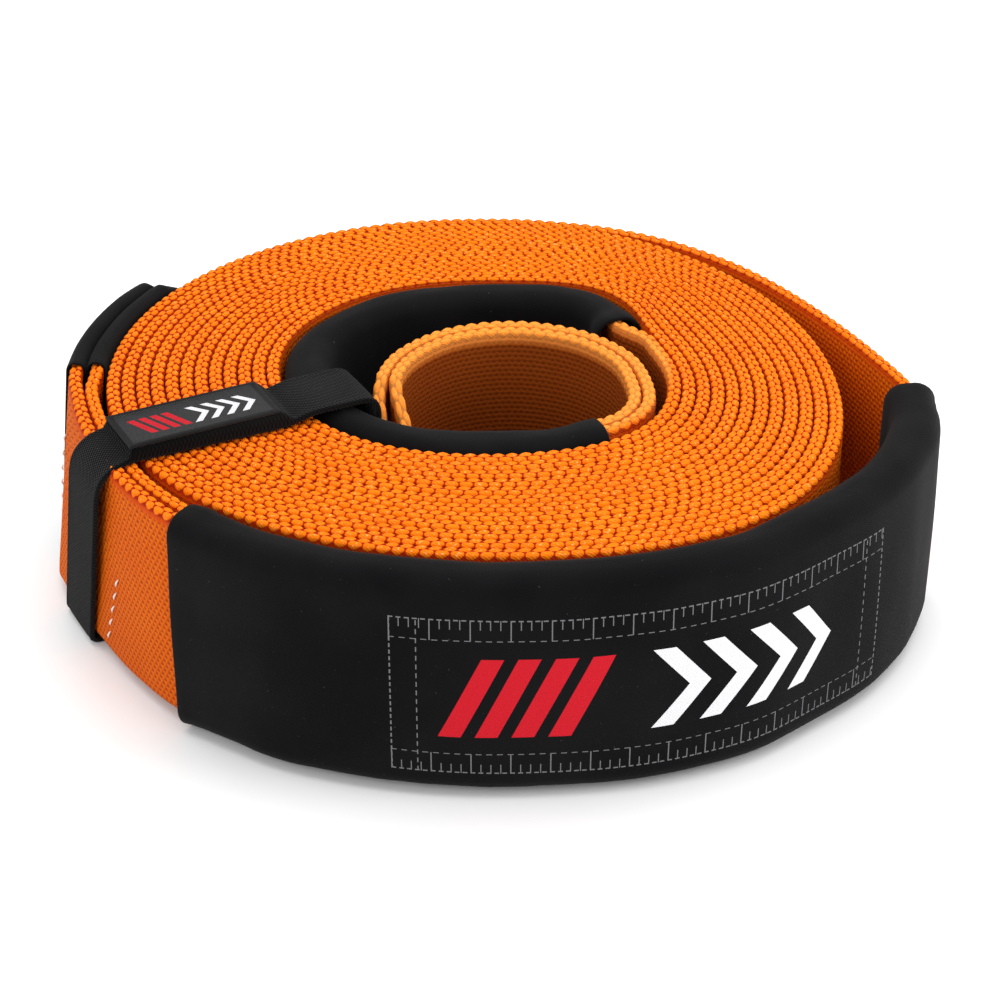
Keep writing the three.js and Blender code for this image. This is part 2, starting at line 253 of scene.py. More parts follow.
# A stop's bottom, top, thickness, and how far its bottom edge leans to the left of the strap's way
FULL = (WEBBING_BOTTOM, WEBBING_TOP, WEBBING_THICKNESS, 0)
SEWN_LEANS = (0, 1, 3, 6, 10)
LEAN_STATIONS = 5
FOLDED = (EYE_BOTTOM, EYE_BOTTOM + EYE_WIDTH, WEBBING_THICKNESS, 0)


def eye_line(middle_stops, taper):
    """An eye's stops, with the strap going down to its folded width between two distances from
    either end."""
    stops = eye_stops(middle_stops)
    along = np.cumsum([0] + [math.dist(a, b) for a, b in zip(stops, stops[1:])])
    result = []
    for stop, way in zip(stops, along):
        fall = ease(min(way, along[-1] - way), *taper)
        result.append((*stop, *(a + (b - a) * fall for a, b in zip(FULL, FOLDED))))
    return result


def leaning_eye():
    """The outer eye's stops. Its legs start with the lean of the sewn strap and lose it along them."""
    stops = eye_line(outer_eye_stops(), OUTER_TAPER)
    last = len(stops) - 1
    leaning = []
    for k, stop in enumerate(stops):
        lean = SEWN_LEANS[-1] * (1 - ease(min(k, last - k), 0, LEAN_STATIONS))
        leaning.append((*stop[:5], lean if k < last / 2 else -lean))
    return leaning


def strap_stops():
    """The whole strap from the sewn tail of its inner eye to the sewn tail of its outer one: place
    in plan, bottom, top, thickness and lean."""
    def level(stops):
        return [(*stop, *FULL) for stop in stops]

    sleeve_end = polar(360 + INNER_END, inner_sleeve_line(INNER_END))
    loop = [sleeve_end] + LOOP_STOPS
    inner_eye = eye_line(INNER_EYE_STOPS, INNER_TAPER)
    tail = level(beside(loop, SEWN_OFFSET))
    main = level(beside(loop, -SEWN_OFFSET))
    inner = level(inner_sleeve_stops()[:-1])
    roll = [(x, y, WEBBING_BOTTOM, WEBBING_TOP, thickness, 0) for x, y, thickness in roll_stops()]
    outer = outer_run_stops()
    sewn_from = len(outer) - 5
    run = level(outer[:sewn_from])
    sewn = outer[sewn_from:]
    outer_eye = leaning_eye()
    first = [(*stop, *FULL[:3], lean) for stop, lean in zip(beside(sewn, SEWN_OFFSET), SEWN_LEANS)]
    last = [(*stop, *FULL[:3], -lean) for stop, lean in zip(beside(sewn, -SEWN_OFFSET), SEWN_LEANS)]
    start = tail + inner_eye[1:-1] + main[::-1] + inner[::-1]
    return start + roll + run + first + outer_eye[1:-1] + last[::-1]


def beside(stops, across):
    """Stops moved to the left of the way they go."""
    way = headings(np.array(stops, float))
    return [(x - w[1] * across, y + w[0] * across) for (x, y), w in zip(stops, way)]


STRAP_STEP = 1.15
STATIONS_PER_PICK = 4
PICK = STRAP_STEP * STATIONS_PER_PICK
# Half of the strap's section, from the middle of its top edge down: across in half thicknesses,
# then millimetres below the top, or above the bottom
EDGE_TOP = ((0, 0.7), (0.5, 0.0), (0.9, 0.9), (1.0, 2.6))
EDGE_BOTTOM = ((1.0, 2.0), (0.8, 0.3))


def strap_rings(line):
    """The strap's section at each station. The two rows of strands on its edges stand half a pick
    apart."""
    way = headings(line)
    side = np.column_stack([-way[:, 1], way[:, 0]])
    bottom, top, thickness = line[:, 2], line[:, 3], line[:, 4]
    pick = np.arange(len(line)) * math.pi / STATIONS_PER_PICK
    lean = line[:, 5] / (top - bottom)
    ring = []
    for hand in (1, -1):
        crest = np.abs(np.sin(pick + (0 if hand > 0 else math.pi / 2)))
        half = []
        for across, below in EDGE_TOP:
            strand = 0.85 * (1 - crest) * (0.3 < across < 0.95)
            pinch = 1 - 0.16 * (1 - crest) * (across > 0.8)
            half.append((hand * across * pinch * thickness / 2, top - below - strand))
        half += [(hand * across * thickness / 2 + lean * (top - bottom - above), bottom + above)
                 for across, above in EDGE_BOTTOM]
        ring.append(half)
    points = ring[0] + ring[1][:0:-1]
    return np.stack([np.column_stack([line[:, :2] + side * across[:, None], height])
                     for across, height in points], axis=1)


# Meshes

def loft(name, rings, u, v, looped):
    """A closed mesh through rings of points in millimetres. Looped rings join last to first, others
    are capped. The map carries u along and v round, one value more than there are rings or points."""
    count, ring_size = rings.shape[:2]
    spans = count if looped else count - 1
    i, j = np.meshgrid(np.arange(spans), np.arange(ring_size), indexing="ij")
    next_i, next_j = (i + 1) % count, (j + 1) % ring_size
    corners = [(i, j), (i, next_j), (next_i, next_j), (next_i, j)]
    quads = np.stack([a * ring_size + b for a, b in corners], axis=-1).reshape(-1, 4)
    maps = np.stack([np.stack([u[a], v[b]], axis=-1) for a, b in
                     ((i, j), (i, j + 1), (i + 1, j + 1), (i + 1, j))], axis=2).reshape(-1, 4, 2)
    points = rings.reshape(-1, 3) + (*ROLL_MIDDLE, 0)
    tri = points[quads[:, :3]] - points.mean(axis=0)
    other = points[quads[:, [0, 2, 3]]] - points.mean(axis=0)
    volume = sum(np.einsum("ij,ij->", t[:, 0], np.cross(t[:, 1], t[:, 2])) for t in (tri, other))
    if volume < 0:
        quads, maps = quads[:, ::-1], maps[:, ::-1]
    faces = quads.tolist()
    uv = maps.reshape(-1, 2)
    if not looped:
        first = list(range(ring_size))
        last = list(range((count - 1) * ring_size, count * ring_size))
        caps = [first, last[::-1]] if volume < 0 else [first[::-1], last]
        faces += caps
        uv = np.vstack([uv, np.zeros((2 * ring_size, 2))])
    mesh = bpy.data.meshes.new(name)
    mesh.from_pydata((points * MM).tolist(), [], faces)
    mesh.uv_layers.new(name="weave").data.foreach_set("uv", (uv * MM).astype(np.float32).ravel())
    mesh.polygons.foreach_set("use_smooth", [len(face) == 4 for face in faces])
    mesh.update()
    piece = bpy.data.objects.new(name, mesh)
    bpy.context.scene.collection.objects.link(piece)
    return piece


def around(rings, station):
    """Distance round the ring at a station, from its first point back to it."""
    ring = rings[station]
    return np.concatenate([[0], np.cumsum(np.linalg.norm(np.roll(ring, -1, axis=0) - ring, axis=1))])


def tube_section(half, bottom, top, corner):
    """A rounded oblong from the middle of its top: points across and up, with their normals."""
    points, normals = [], []
    quarters = ((1, 1, (0, 90)), (1, -1, (90, 180)), (-1, -1, (180, 270)), (-1, 1, (270, 360)))
    for hand_x, hand_z, turns in quarters:
        middle = (hand_x * (half - corner), (top - corner) if hand_z > 0 else (bottom + corner))
        for k in range(CORNER_FACETS + 1):
            turn = math.radians(turns[0] + (turns[1] - turns[0]) * k / CORNER_FACETS)
            points.append((middle[0] + corner * math.sin(turn), middle[1] + corner * math.cos(turn)))
            normals.append((math.sin(turn), math.cos(turn)))
        if turns[1] in (90, 270):
            ends = (top - corner, bottom + corner) if hand_x > 0 else (bottom + corner, top - corner)
            for k in range(1, SIDE_FACETS):
                points.append((hand_x * half, ends[0] + (ends[1] - ends[0]) * k / SIDE_FACETS))
                normals.append((hand_x, 0))
    return np.array(points), np.array(normals)


def tube_rings(line, wall, corner, swell):
    """Outside, far hem, inside and near hem of a tube along a line whose stops hold bottom, top,
    thickness and lean. swell is how far each point of the wall stands out, by station and point."""
    way = headings(line)
    side = np.column_stack([-way[:, 1], way[:, 0]])

    def shell(inset, stations):
        rings = []
        for k in stations:
            x, y, bottom, top, thickness, lean = line[k]
            points, normals = tube_section(thickness / 2 - inset, bottom + inset, top - inset,
                                           max(corner - inset, 0.6))
            points = points + normals * swell[k][:, None]
            points[:, 0] += lean * (top - points[:, 1]) / (top - bottom)
            plan = (x, y) + side[k] * points[:, :1]
            rings.append(np.column_stack([plan, points[:, 1]]))
        return rings

    stations = range(len(line))
    outside = shell(0, stations)
    inside = shell(wall, stations[::-1])
    return np.array(outside + hem(outside[-1], inside[0], way[-1], wall) + inside
                    + hem(inside[-1], outside[0], -way[0], wall))


def hem(first, last, way, wall):
    """Rings that carry a tube's edge round from one wall to the other."""
    rolled = []
    for turn in (45, 90, 135):
        share = (1 - math.cos(math.radians(turn))) / 2
        out = wall * 0.5 * math.sin(math.radians(turn))
        rolled.append(first + (last - first) * share + np.array([*way, 0]) * out)
    return rolled


# Materials

class Nodes:
    """Short names for the nodes that a material or group is wired from."""

    def __init__(self, tree):
        self.tree = tree

    def add(self, kind, **values):
        node = self.tree.nodes.new(kind)
        for name, value in values.items():
            setattr(node, name, value)
        return node

    def put(self, socket, value):
        if isinstance(value, bpy.types.NodeSocket):
            self.tree.links.new(value, socket)
        elif value is not None:
            socket.default_value = value

    def math(self, operation, a, b=None, c=None):
        node = self.add("ShaderNodeMath", operation=operation)
        for socket, value in zip(node.inputs, (a, b, c)):
            self.put(socket, value)
        return node.outputs[0]

    def mix(self, share, a, b, blend="MIX"):
        node = self.add("ShaderNodeMix", data_type="RGBA", blend_type=blend)
        self.put(node.inputs[0], share)
        self.put(node.inputs[6], a)
        self.put(node.inputs[7], b)
        return node.outputs[2]

    def noise(self, vector, scale, detail=2.0):
        node = self.add("ShaderNodeTexNoise")
        self.put(node.inputs["Vector"], vector)
        node.inputs["Scale"].default_value = scale
        node.inputs["Detail"].default_value = detail
        return node.outputs[0]

    def within(self, value, low, high):
        """1 between low and high, in millimetres of the map."""
        return self.math("COMPARE", value, (low + high) / 2 * MM, (high - low) / 2 * MM)

    def all(self, *masks):
        result = masks[0]
        for mask in masks[1:]:
            result = self.math("MULTIPLY", result, mask)
        return result

    def stripes(self, value, pitch, share):
        """1 over the first share of every pitch, in millimetres of the map."""
        return self.math("LESS_THAN", self.math("FRACT", self.math("DIVIDE", value, pitch * MM)), share)

    def ramp(self, value, low, high, start=0.0, end=1.0):
        node = self.add("ShaderNodeMapRange", interpolation_type="SMOOTHSTEP")
        for socket, number in zip(node.inputs, (value, low, high, start, end)):
            self.put(socket, number)
        return node.outputs[0]

    def bump(self, height, distance, strength=1.0, normal=None):
        node = self.add("ShaderNodeBump")
        node.inputs["Strength"].default_value = strength
        node.inputs["Distance"].default_value = distance
        self.put(node.inputs["Height"], height)
        self.put(node.inputs["Normal"], normal)
        return node.outputs[0]


def new_material(name, roughness, sheen, specular):
    """A material with its nodes, its shader and the two values of the weave map."""
    material = bpy.data.materials.new(name)
    material.use_nodes = True
    nodes = Nodes(material.node_tree)
    shader = material.node_tree.nodes["Principled BSDF"]
    shader.inputs["Roughness"].default_value = roughness
    shader.inputs["Sheen Weight"].default_value = sheen
    shader.inputs["Specular IOR Level"].default_value = specular
    uv = nodes.add("ShaderNodeUVMap", uv_map="weave").outputs[0]
    split = nodes.add("ShaderNodeSeparateXYZ")
    nodes.put(split.inputs[0], uv)
    return material, nodes, shader, split.outputs[0], split.outputs[1]


def plain_material(name, base, roughness, specular=0.5):
    material = bpy.data.materials.new(name)
    material.use_nodes = True
    shader = material.node_tree.nodes["Principled BSDF"]
    shader.inputs["Base Color"].default_value = base
    shader.inputs["Roughness"].default_value = roughness
    shader.inputs["Specular IOR Level"].default_value = specular
    return material


def colour(red, green, blue):
    return (red, green, blue, 1.0)


def webbing_material(girth):
    """Woven strap. The map's v is 0 along the middle of the top edge and runs down one face."""
    material, nodes, shader, along, girthwise = new_material("orange webbing", 0.7, 0.0, 0.06)
    past_middle = nodes.math("GREATER_THAN", girthwise, girth / 2)
    from_top = nodes.math("SUBTRACT", girthwise, nodes.math("MULTIPLY", past_middle, girth))
    depth = nodes.math("ABSOLUTE", from_top)
    place = nodes.add("ShaderNodeTexCoord").outputs["Object"]
    blotch = nodes.noise(place, 60.0, 3.0)
    grain = nodes.noise(place, 1300.0, 2.0)
    # Two staggered rows of strands along the edge, each strand a lens one pick long
    wobble = nodes.math("MULTIPLY", nodes.math("SUBTRACT", nodes.noise(place, 260.0), 0.5), 1.1)
    picks = nodes.math("ADD", nodes.math("MULTIPLY", along, math.pi / (PICK * MM)), wobble)
    picks = nodes.math("ADD", picks, nodes.math("MULTIPLY", past_middle, math.pi / 2))
    crest = nodes.math("ABSOLUTE", nodes.math("SINE", picks))
    from_row = nodes.math("DIVIDE", nodes.math("SUBTRACT", depth, 1.35 * MM), 1.35 * MM)
    lens = nodes.math("SUBTRACT", crest, nodes.math("MULTIPLY", nodes.math("POWER", from_row, 2), 0.62))
    slant = nodes.math("ADD", nodes.math("MULTIPLY", along, 2 * math.pi / (1.3 * MM)),
                       nodes.math("MULTIPLY", from_top, 2 * math.pi / (0.75 * MM)))
    threads = nodes.math("SINE", slant)
    # Short knots in staggered columns on the flat faces
    column = nodes.math("MULTIPLY", from_top, 1 / (1.9 * MM))
    shift = nodes.math("MULTIPLY", nodes.math("FLOOR", column), math.pi)
    across = nodes.math("SINE", nodes.math("MULTIPLY", column, 2 * math.pi))
    knot_rows = nodes.math("MULTIPLY", along, 2 * math.pi / (2.4 * MM))
    rows = nodes.math("SINE", nodes.math("ADD", knot_rows, shift))
    knots = nodes.math("ADD", nodes.math("MULTIPLY", rows, 0.6), nodes.math("MULTIPLY", across, 0.4))
    face = nodes.ramp(depth, 2.9 * MM, 3.8 * MM)
    edge_height = nodes.math("ADD", nodes.ramp(lens, -0.1, 0.8), nodes.math("MULTIPLY", threads, 0.12))
    height = nodes.mix(face, edge_height, nodes.math("MULTIPLY", knots, 0.5))
    orange = nodes.mix(blotch, colour(0.80, 0.118, 0.001), colour(0.94, 0.205, 0.002))
    streaks = nodes.mix(nodes.ramp(threads, -0.4, 1.0, 0.0, 0.22), orange, colour(1.0, 0.31, 0.01))
    # Pale specks mixed onto the crests of the strand lenses are a painted highlight
    painted_glint = nodes.math("MULTIPLY", nodes.ramp(grain, 0.56, 0.72), nodes.ramp(lens, 0.2, 0.9))
    strand = nodes.mix(nodes.math("MULTIPLY", painted_glint, 0.55), streaks, colour(1.0, 0.55, 0.20))
    # Between the strand lenses the edge is painted dark red, a painted shade in the valleys between strands
    edge = nodes.mix(nodes.ramp(lens, 0.0, 0.34), colour(0.30, 0.012, 0.001), strand)
    # Where the edge rounds down onto the face it is painted a darker red, a painted shade in the gaps between
    # turns
    edge = nodes.mix(nodes.ramp(depth, 2.5 * MM, 3.6 * MM), edge, colour(0.55, 0.060, 0.002))
    dull = nodes.mix(0.38, orange, colour(0.30, 0.045, 0.004))
    # The hollows between knots are painted darker, a painted shade
    flat = nodes.mix(nodes.ramp(knots, -0.8, 0.3), colour(0.36, 0.042, 0.002), dull)
    base = nodes.mix(nodes.ramp(depth, 3.8 * MM, 6.0 * MM), edge, flat)
    # The sewn end in the middle is paler on its edges, and browner on its faces, where the brown is a painted
    # shade down in the bore
    middle = nodes.add("ShaderNodeVectorMath", operation="DISTANCE")
    flatten = nodes.add("ShaderNodeVectorMath", operation="MULTIPLY")
    nodes.put(flatten.inputs[0], place)
    flatten.inputs[1].default_value = (1, 1, 0)
    nodes.put(middle.inputs[0], flatten.outputs[0])
    middle.inputs[1].default_value = (0.006, -0.004, 0)
    in_end = nodes.ramp(middle.outputs["Value"], 53 * MM, 57 * MM, 1.0, 0.0)
    on_face = nodes.ramp(depth, 3.8 * MM, 7.0 * MM)
    pale = nodes.math("MULTIPLY", in_end, nodes.math("SUBTRACT", 0.34, nodes.math("MULTIPLY", on_face, 0.34)))
    painted_bore_shade = nodes.math("MULTIPLY", in_end, nodes.math("MULTIPLY", on_face, 0.75))
    base = nodes.mix(pale, base, colour(1.0, 0.50, 0.10))
    base = nodes.mix(painted_bore_shade, base, colour(0.12, 0.026, 0.004))
    nodes.put(shader.inputs["Base Color"], base)
    nodes.put(shader.inputs["Normal"], nodes.bump(height, 0.5 * MM, 0.8))
    return material


def cloth_material(name, dark, light, roughness, sheen, grain_size, relief, motif=None):
    """Woven or napped black cloth with a little lint, and a motif printed or woven on it."""
    material, nodes, shader, along, girthwise = new_material(name, roughness, sheen, 0.02)
    place = nodes.add("ShaderNodeTexCoord").outputs["Object"]
    blotch = nodes.noise(place, 25.0, 3.0)
    wave = 2 * math.pi / grain_size
    ribs = nodes.math("MULTIPLY", nodes.math("SINE", nodes.math("MULTIPLY", along, wave)),
                      nodes.math("SINE", nodes.math("MULTIPLY", girthwise, wave)))
    lint = nodes.ramp(nodes.noise(place, 900.0, 2.0), 0.72, 0.8, 0.0, 0.35)
    base = nodes.mix(nodes.ramp(blotch, 0.3, 0.7), dark, light)
    base = nodes.mix(lint, base, colour(0.10, 0.095, 0.09))
    if motif:
        base = motif(nodes, base, along, girthwise)
    nodes.put(shader.inputs["Base Color"], base)
    nodes.put(shader.inputs["Normal"], nodes.bump(ribs, relief))
    return material


PRINT_RED = colour(0.52, 0.012, 0.022)
PRINT_WHITE = colour(0.72, 0.72, 0.74)
PRINT_GREY = colour(0.16, 0.16, 0.165)


def bars_and_chevrons(nodes, base, right, up, bars, chevrons, heights, pitch):
    """Slanting red bars beside white chevrons, between two heights."""
    tall = nodes.within(up, *heights)
    middle = (heights[0] + heights[1]) / 2 * MM
    slant = nodes.math("SUBTRACT", right, nodes.math("MULTIPLY", up, 0.45))
    from_bars = nodes.math("SUBTRACT", slant, bars[0] * MM)
    red = nodes.all(tall, nodes.within(slant, *bars), nodes.stripes(from_bars, pitch, 0.62))
    fold = nodes.math("ABSOLUTE", nodes.math("SUBTRACT", up, middle))
    pointed = nodes.math("ADD", right, nodes.math("MULTIPLY", fold, 0.8))
    from_chevrons = nodes.math("SUBTRACT", pointed, chevrons[0] * MM)
    white = nodes.all(tall, nodes.within(pointed, *chevrons), nodes.stripes(from_chevrons, pitch * 1.4, 0.45))
    return nodes.mix(white, nodes.mix(red, base, PRINT_RED), PRINT_WHITE)


def sleeve_print(nodes, base, along, girthwise):
    """A dashed frame with a scale along each long side, round bars and chevrons."""
    left, bottom, width, height = PRINT_PLACE
    right = nodes.math("SUBTRACT", left * MM, along)
    up = nodes.math("SUBTRACT", bottom * MM, girthwise)
    inside = nodes.all(nodes.within(right, 0, width), nodes.within(up, 0, height))
    from_side = nodes.math("MINIMUM", right, nodes.math("SUBTRACT", width * MM, right))
    from_long = nodes.math("MINIMUM", up, nodes.math("SUBTRACT", height * MM, up))
    dashes = nodes.math("ADD", nodes.all(nodes.within(from_side, 0, 0.45), nodes.stripes(up, 2.4, 0.6)),
                        nodes.all(nodes.within(from_long, 0, 0.45), nodes.stripes(right, 2.4, 0.6)))
    scale = nodes.all(nodes.within(from_long, 0, 7.5), nodes.stripes(right, 12, 0.03))
    fine = nodes.all(nodes.within(from_long, 0, 3.5), nodes.stripes(right, 3, 0.1))
    rule = nodes.all(nodes.within(from_long, 7.3, 7.6), nodes.stripes(right, 3.2, 0.55))
    side = nodes.all(nodes.within(from_side, 8, 8.35), nodes.stripes(up, 3.2, 0.55))
    lines = nodes.math("MINIMUM", nodes.math("ADD", nodes.math("ADD", dashes, scale),
                                             nodes.math("ADD", fine, nodes.math("ADD", rule, side))), 1.0)
    grey = nodes.mix(nodes.all(inside, lines), base, PRINT_GREY)
    return bars_and_chevrons(nodes, grey, right, up, bars=(8, 50), chevrons=(90, 146),
                             heights=(14, 43), pitch=11)


def label_weave(nodes, base, along, girthwise):
    """Twill inside a plain rim, with bars and chevrons."""
    right = nodes.math("SUBTRACT", LABEL[0] * MM, along)
    rim = nodes.math("MINIMUM", nodes.math("MINIMUM", along, right),
                     nodes.math("MINIMUM", girthwise, nodes.math("SUBTRACT", LABEL_GIRTH * MM, girthwise)))
    field = nodes.math("GREATER_THAN", rim, 2.2 * MM)
    twill = nodes.stripes(nodes.math("ADD", along, girthwise), 0.9, 0.5)
    base = nodes.mix(nodes.all(field, twill), base, colour(0.05, 0.05, 0.052))
    return bars_and_chevrons(nodes, base, right, girthwise, bars=(2, 17), chevrons=(30, 51),
                             heights=(7, 18), pitch=4)


# Print's right edge along the front sleeve and its lower edge round it, then its width and height
PRINT_PLACE = (240, 75, 166, 57)
LABEL_GIRTH = 25.0


# Pieces

def dress(piece, node, material):
    piece.data.materials.append(material)
    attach(piece, "root")
    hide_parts(node)
    return piece


def ripples(along, points, seed, reach, depth):
    """How far a loose wall stands out: soft upright folds, deeper near the ends."""
    length = along[-1]
    swell = np.zeros((len(along), len(points)))
    for k, distance in enumerate(along):
        end = math.exp(-min(distance, length - distance) / reach)
        for j, (x, z) in enumerate(points):
            fold = noise.noise(Vector((distance / 22, z / 60, seed + (x > 0) * 7)))
            crease = noise.noise(Vector((distance / 9, z / 35, seed + 3 + (x > 0) * 7)))
            swell[k, j] = depth * (fold * (0.55 + end) + 0.45 * crease * (0.4 + end))
    return swell


def sleeve(name, node, stops, bottom, top, thickness, wall, corner, seed, material, step=3.2, crown=0.8):
    """A loose tube along stops, crowned on its flat sides, with soft folds and a hem at each end."""
    along, line = smooth_line([(*stop, bottom, top, thickness, 0) for stop in stops], step)
    points, _ = tube_section(thickness / 2, bottom, top, corner)
    swell = ripples(along, points, seed, 18, 0.9)
    middle = (bottom + top) / 2
    swell += crown * (1 - ((points[:, 1] - middle) / (top - middle)) ** 2)[None, :] - crown
    near_end = np.minimum(along, along[-1] - along)
    swell += np.where(near_end < HEM, 0.35, 0)[:, None]
    rings = tube_rings(line, wall, corner, swell)
    u = np.concatenate([along, along[-1] + np.arange(1, 4) * wall, along[::-1],
                        -np.arange(1, 5) * wall])
    piece = loft(name, rings, u, around(rings, len(along) // 2), True)
    return dress(piece, node, material), rings


strap_along, strap_line = smooth_line(strap_stops(), STRAP_STEP)
strap = strap_rings(strap_line)
strap_girth = around(strap, len(strap) // 2)
webbing = loft("rolled_webbing", strap, strap_along, strap_girth, False)
dress(webbing, "webbing", webbing_material(strap_girth[-1] * MM))

black_weave = cloth_material("black sleeve cloth", colour(0.0035, 0.0035, 0.004),
                             colour(0.0065, 0.0062, 0.0068), 0.62, 0.03, 1.1 * MM, 0.05 * MM)
printed_weave = cloth_material("printed sleeve cloth", colour(0.0035, 0.0035, 0.004),
                               colour(0.0065, 0.0062, 0.0068), 0.62, 0.03, 1.1 * MM, 0.05 * MM, sleeve_print)
front_sleeve, front_rings = sleeve("front_sleeve_cloth", "front_wear_sleeve", front_sleeve_stops(),
                                   FOLD_ROOM, FRONT_SLEEVE_TOP - FOLD_ROOM, FRONT_SLEEVE_THICKNESS,
                                   1.4, 7.5, 1, printed_weave)
inner_sleeve, inner_rings = sleeve("inner_sleeve_cloth", "inner_wear_sleeve", inner_sleeve_stops(),
                                   INNER_SLEEVE_BOTTOM + FOLD_ROOM, INNER_SLEEVE_TOP - FOLD_ROOM,
                                   INNER_SLEEVE_THICKNESS, 1.4, 7.0, 2, black_weave)


def eye_sleeve(name, node, stops, start, seed, material):
    """A thin tube on both legs of an eye and round its tip."""
    along, line = smooth_line(stops, 2.0)
    keep = (along > start) & (along < along[-1] - start)
    along, line = along[keep] - along[keep][0], line[keep]
    line[:, 2] -= EYE_SLEEVE_ROOM - 0.2
    line[:, 3] += EYE_SLEEVE_ROOM - 0.2
    line[:, 4] = 2 * EYE_LEG_HALF
    points, _ = tube_section(EYE_LEG_HALF, 0, 40, 3)
    swell = ripples(along, points, seed, 12, 0.2)
    rings = tube_rings(line, 0.7, 3.0, swell)
    u = np.concatenate([along, along[-1] + np.arange(1, 4), along[::-1], -np.arange(1, 5)])
    piece = loft(name, rings, u, around(rings, len(along) // 2), True)
    return dress(piece, node, material)


inner_eye_stops = eye_line(INNER_EYE_STOPS, INNER_TAPER)
eye_sleeve("inner_eye_cloth", "inner_eye_sleeve", inner_eye_stops, 47, 4, black_weave)
eye_sleeve("outer_eye_cloth", "outer_eye_sleeve", leaning_eye(), 20, 5, black_weave)


# Keeper

KEEPER_HEADING = 207
KEEPER_START = (-48.5, -26.7)
KEEPER_INNER = -13
KEEPER_OUTER = 87.4
KEEPER_WIDTH = 26.0
# How far the foot of the keeper's outer side stands from the plane of the rest
KEEPER_LEAN = (-10.8, 20.6)
KEEPER_THICKNESS = 2.0
# Where the keeper goes down from the inner sleeve's top to the roll's, out from its start
KEEPER_SLOPE = (11, 19)
KEEPER_CORNER_RADII = (3, 15, 5, 5, 6, 3)
LAY_GAP = 0.3
TAB_LENGTH = 60.0
TAB_THICKNESS = 3.4
# Length, width and thickness
LABEL = (54.0, 24.0, 1.2)


def rounded(corners, radii, step):
    """Even stations round a closed outline whose corners are rounded."""
    line = []
    corners = np.array(corners, float)
    for k, (corner, radius) in enumerate(zip(corners, radii)):
        before, after = corners[k - 1] - corner, corners[(k + 1) % len(corners)] - corner
        start = corner + before / np.linalg.norm(before) * min(radius, np.linalg.norm(before) / 2.1)
        end = corner + after / np.linalg.norm(after) * min(radius, np.linalg.norm(after) / 2.1)
        for t in np.linspace(0, 1, 7):
            line.append((1 - t) ** 2 * start + 2 * t * (1 - t) * corner + t * t * end)
    line = np.array(line + [line[0]])
    along = np.concatenate([[0], np.cumsum(np.linalg.norm(np.diff(line, axis=0), axis=1))])
    even = np.linspace(0, along[-1], round(along[-1] / step) + 1)
    return even, np.column_stack([np.interp(even, along, line[:, k]) for k in (0, 1)])[:-1]


def keeper_place(out, across, height):
    """A point in the keeper's plane, out from its start, with a step to the side."""
    way = math.radians(KEEPER_HEADING)
    x = KEEPER_START[0] + out * math.cos(way) - across * math.sin(way)
    y = KEEPER_START[1] + out * math.sin(way) + across * math.cos(way)
    lean = ease(out, 20, KEEPER_OUTER) * (1 - height / INNER_SLEEVE_TOP)
    return (x + KEEPER_LEAN[0] * lean, y + KEEPER_LEAN[1] * lean, height)


def keeper_rings():
    half = KEEPER_THICKNESS / 2
    over_sleeve, over_roll = INNER_SLEEVE_TOP + LAY_GAP + half, WEBBING_TOP + LAY_GAP + half
    corners = [(KEEPER_OUTER, half), (KEEPER_OUTER, over_roll), (KEEPER_SLOPE[1], over_roll),
               (KEEPER_SLOPE[0], over_sleeve), (KEEPER_INNER, over_sleeve), (KEEPER_INNER, half)]
    along, line = rounded(corners, KEEPER_CORNER_RADII, 1.5)
    way = np.roll(line, -1, axis=0) - np.roll(line, 1, axis=0)
    way /= np.linalg.norm(way, axis=1)[:, None]
    outwards = np.column_stack([way[:, 1], -way[:, 0]])
    tab_from, tab_to = KEEPER_SLOPE[1], KEEPER_SLOPE[1] + TAB_LENGTH
    # From an edge of the band in: the bead along it, then the pile. Each has its share of the thickness
    from_edge = ((0, 0.0), (0.2, 0.75), (1.0, 1.0), (1.8, 0.8), (5, 0.95))
    side = [(KEEPER_WIDTH / 2 - inset, share) for inset, share in from_edge]
    edges = [(-across, share) for across, share in side] + [(0, 1.0)] + side[::-1]
    rings = []
    for (out, height), (dx, dz) in zip(line, outwards):
        on_tab = height > over_roll - 0.3 and tab_from <= out <= tab_to
        end = min(out - tab_from, tab_to - out)
        rise = TAB_THICKNESS * (1 - max(0, 1 - end / 1.8) ** 2) ** 0.5 if on_tab else 0
        ring = []
        for across, share in edges:
            lift = share * half + rise * min(1, (KEEPER_WIDTH / 2 - abs(across)) / 0.8) ** 0.5
            ring.append(keeper_place(out + dx * lift, across, height + dz * lift))
        for across, share in edges[-2:0:-1]:
            ring.append(keeper_place(out - dx * share * half, across, height - dz * share * half))
        rings.append(ring)
    return along, np.array(rings)


pile = cloth_material("keeper pile", colour(0.003, 0.003, 0.003), colour(0.006, 0.006, 0.006), 0.95, 0.06,
                      1.4 * MM, 0.18 * MM)
keeper_along, keeper = keeper_rings()
keeper_band = loft("keeper_band", keeper, keeper_along, around(keeper, 3), True)
dress(keeper_band, "keeper_strap", pile)


